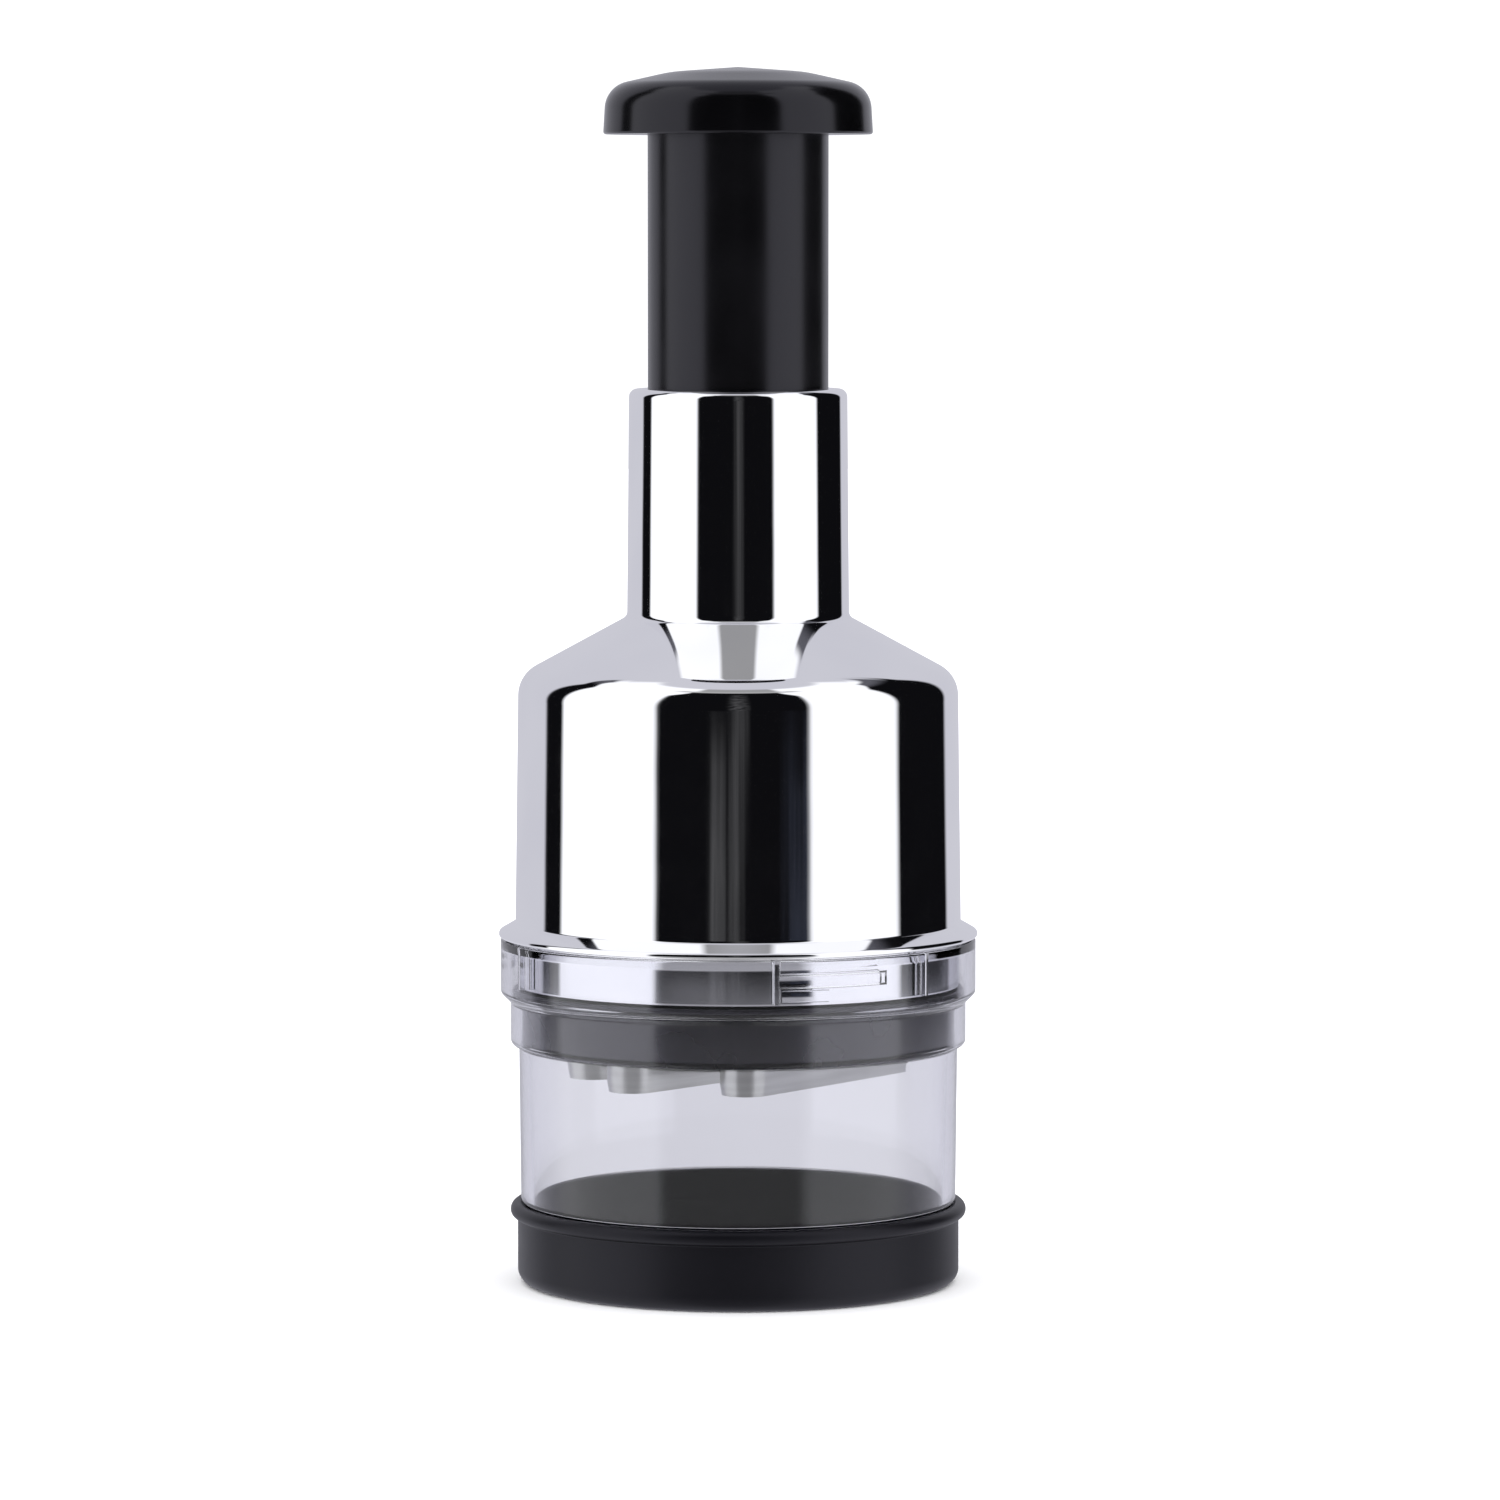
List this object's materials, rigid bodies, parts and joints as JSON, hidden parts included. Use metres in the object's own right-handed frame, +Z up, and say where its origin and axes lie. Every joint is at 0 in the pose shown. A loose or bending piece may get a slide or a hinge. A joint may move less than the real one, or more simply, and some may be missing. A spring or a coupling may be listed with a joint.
{
  "type": "garlic pounder",
  "caption": "Press-down hand chopper with a domed knob, a chrome housing, a folded steel blade, a clear chamber and a base cap that lifts off.",
  "frame": {"origin": "centre of the base cap's underside, on the surface that it stands on", "axes": "+Z up along the axis of the plunger; -Y is the front that the picture shows; +X to its right"},
  "size_m": [0.0868, 0.0868, 0.22],
  "materials": {
    "black_gloss": "glossy",
    "black_satin": "satin",
    "chrome": "mirror polished",
    "clear": "clear moulded plastic",
    "grey_plastic": "satin",
    "white_plastic": "satin",
    "steel": "fine brushed"
  },
  "bodies": {
    "base": {"base_cap": "black_satin"},
    "chamber": {"chopping_chamber": "clear"},
    "housing": {"housing_shell": "chrome", "neck_bush": "black_satin", "inner_frame": "white_plastic", "crown_ring": "grey_plastic", "crown_screw_1": "steel", "crown_screw_2": "steel", "crown_screw_3": "steel", "spring_washer": "steel", "return_spring": "steel"},
    "plunger": {"push_knob": "black_gloss", "plunger_tube": "black_gloss", "shaft_hub": "white_plastic"},
    "blades": {"chopping_blade": "steel", "blade_carrier": "black_satin", "blade_shaft": "steel", "thrust_washer": "steel", "shaft_clip": "steel", "index_rotor": "white_plastic", "carrier_screw_1": "steel", "carrier_screw_2": "steel", "carrier_screw_3": "steel", "shaft_screw": "steel"},
    "wiper": {"wiper_disc": "grey_plastic"}
  },
  "joints": [
    {"name": "chamber_lift", "type": "slide", "parent": "base", "child": "chamber", "axis": [0, 0, 1], "range_m": [0, 0.03]},
    {"name": "housing_twist", "type": "hinge", "parent": "chamber", "child": "housing", "pos_m": [0, 0, 0.057], "axis": [0, 0, 1], "range_deg": [0, 28]},
    {"name": "plunger_press", "type": "slide", "parent": "housing", "child": "plunger", "axis": [0, 0, -1], "range_m": [0, 0.035], "stiffness_N_per_m": 250, "springref_m": -0.02, "deforming": ["return_spring"]},
    {"name": "blade_turn", "type": "hinge", "parent": "plunger", "child": "blades", "pos_m": [0, 0, 0.08], "axis": [0, 0, 1], "continuous": true},
    {"name": "wiper_turn", "type": "hinge", "parent": "housing", "child": "wiper", "pos_m": [0, 0, 0.045], "axis": [0, 0, 1], "continuous": true}
  ],
  "couplings": [
    {"joint": "wiper_turn", "follows": "blade_turn", "ratio": 1}
  ]
}
